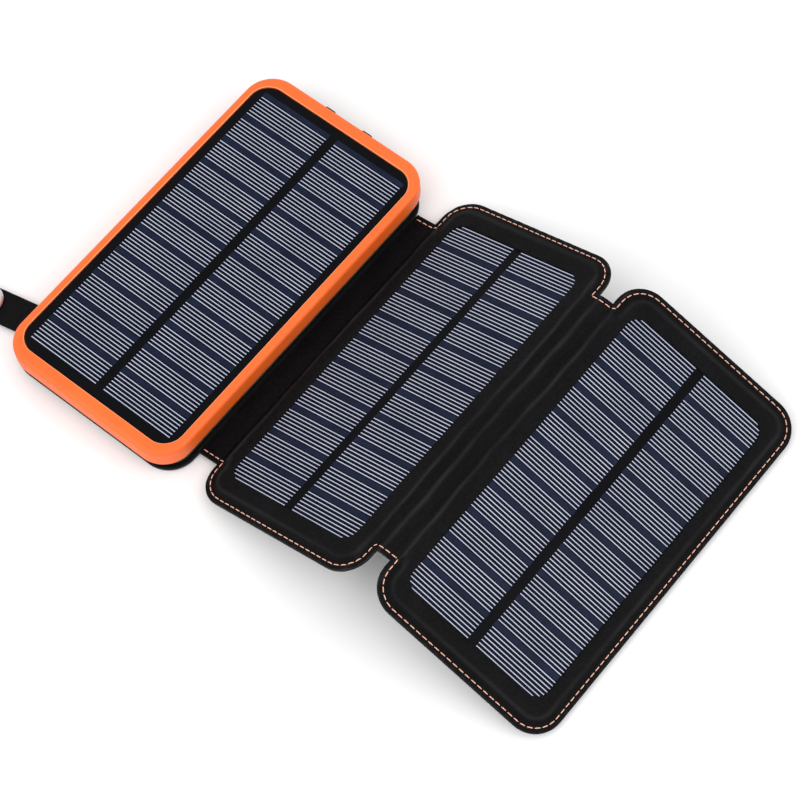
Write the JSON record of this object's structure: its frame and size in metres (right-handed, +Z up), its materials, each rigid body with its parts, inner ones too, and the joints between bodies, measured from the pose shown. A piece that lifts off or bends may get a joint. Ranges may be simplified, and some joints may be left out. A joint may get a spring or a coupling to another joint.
{
  "type": "solar phone charger",
  "caption": "Power bank with a solar face in an orange case, on a black leather folder whose stitched leaves carry more solar boards, with a snap strap.",
  "frame": {"origin": "on the table, under the middle of the power bank", "axes": "+X across the bank towards the folding leaves, +Y along the long side towards the ports, +Z up"},
  "size_m": [0.2858, 0.161, 0.0324],
  "materials": {
    "orange_plastic": "satin moulded",
    "black_plastic": "fine texture",
    "steel": "nickel plated",
    "solar_laminate": "gloss",
    "solar_cell": "gloss",
    "clear_film": "clear",
    "battery_pouch": "satin foil",
    "foam": "matte",
    "wire": "gloss",
    "circuit_board": "solder mask",
    "chip_plastic": "matte",
    "white_plastic": "matte",
    "light_window": "frosted",
    "rubber": "matte",
    "fibreboard": "pressed",
    "flat_lead": "gloss",
    "leather": "fine grain"
  },
  "bodies": {
    "bank": {"case_upper": "orange_plastic", "case_lower": "black_plastic", "case_screws": "steel", "bank_solar_board": "solar_laminate", "bank_cells": "solar_cell", "bank_film": "clear_film", "battery_left": "battery_pouch", "battery_right": "battery_pouch", "battery_foam": "foam", "battery_leads": "wire", "solar_leads": "wire", "main_board": "circuit_board", "board_chips": "chip_plastic", "usb_socket_left": "steel", "usb_socket_right": "steel", "usb_insert_left": "white_plastic", "usb_insert_right": "white_plastic", "micro_usb_socket": "steel", "micro_usb_insert": "white_plastic", "button_switch": "steel", "status_leds": "white_plastic", "led_window": "light_window", "back_skin": "leather", "back_board": "fibreboard", "back_adhesive": "foam", "back_lead": "flat_lead", "strap_root": "leather"},
    "button": {"power_button": "black_plastic"},
    "plug_left": {"port_plug_left": "rubber"},
    "plug_right": {"port_plug_right": "rubber"},
    "hinge_1": {"hinge_1_outer_skin": "leather", "hinge_1_inner_skin": "leather", "hinge_1_lead": "flat_lead"},
    "panel_2": {"panel_2_outer_skin": "leather", "panel_2_board": "fibreboard", "panel_2_solar_board": "solar_laminate", "panel_2_cells": "solar_cell", "panel_2_film": "clear_film", "panel_2_frame_skin": "leather", "panel_2_lead": "flat_lead"},
    "hinge_2": {"hinge_2_outer_skin": "leather", "hinge_2_inner_skin": "leather", "hinge_2_lead": "flat_lead"},
    "panel_3": {"panel_3_outer_skin": "leather", "panel_3_board": "fibreboard", "panel_3_solar_board": "solar_laminate", "panel_3_cells": "solar_cell", "panel_3_film": "clear_film", "panel_3_frame_skin": "leather", "panel_3_lead": "flat_lead", "snap_stud": "steel", "snap_post": "steel"},
    "strap_inner": {"strap_base": "leather"},
    "strap_outer": {"strap_tip": "leather", "snap_cap": "steel", "snap_socket": "steel"}
  },
  "joints": [
    {"name": "fold_a", "type": "hinge", "parent": "bank", "child": "hinge_1", "pos_m": [0.0431, 0.0038, 0.0011], "axis": [0, -1, 0], "range_deg": [-100, 30]},
    {"name": "fold_b", "type": "hinge", "parent": "hinge_1", "child": "panel_2", "pos_m": [0.05049, 0.0038, 0.0024], "axis": [0, -1, 0], "range_deg": [-99.8, 30.2]},
    {"name": "fold_c", "type": "hinge", "parent": "panel_2", "child": "hinge_2", "pos_m": [0.13018, 0.0038, 0.03109], "axis": [0, -1, 0], "range_deg": [-70.2, 109.8]},
    {"name": "fold_d", "type": "hinge", "parent": "hinge_2", "child": "panel_3", "pos_m": [0.13458, 0.0038, 0.03109], "axis": [0, -1, 0], "range_deg": [-69.22, 110.78]},
    {"name": "strap_fold_1", "type": "hinge", "parent": "bank", "child": "strap_inner", "pos_m": [-0.0438, -0.0582, 0.0013], "axis": [0, -1, 0], "range_deg": [-43.17, 91.83]},
    {"name": "strap_fold_2", "type": "hinge", "parent": "strap_inner", "child": "strap_outer", "pos_m": [-0.05949, -0.0582, 0.0018], "axis": [0, -1, 0], "range_deg": [-21.82, 88.17]},
    {"name": "plug_left_flap", "type": "hinge", "parent": "bank", "child": "plug_left", "pos_m": [-0.018, 0.0776, 0.0061], "axis": [-1, 0, 0], "range_deg": [0, 100]},
    {"name": "plug_right_flap", "type": "hinge", "parent": "bank", "child": "plug_right", "pos_m": [0.008, 0.0776, 0.0061], "axis": [-1, 0, 0], "range_deg": [0, 100]},
    {"name": "button_press", "type": "slide", "parent": "bank", "child": "button", "axis": [1, 0, 0], "range_m": [0, 0.0005], "stiffness_N_per_m": 300}
  ]
}
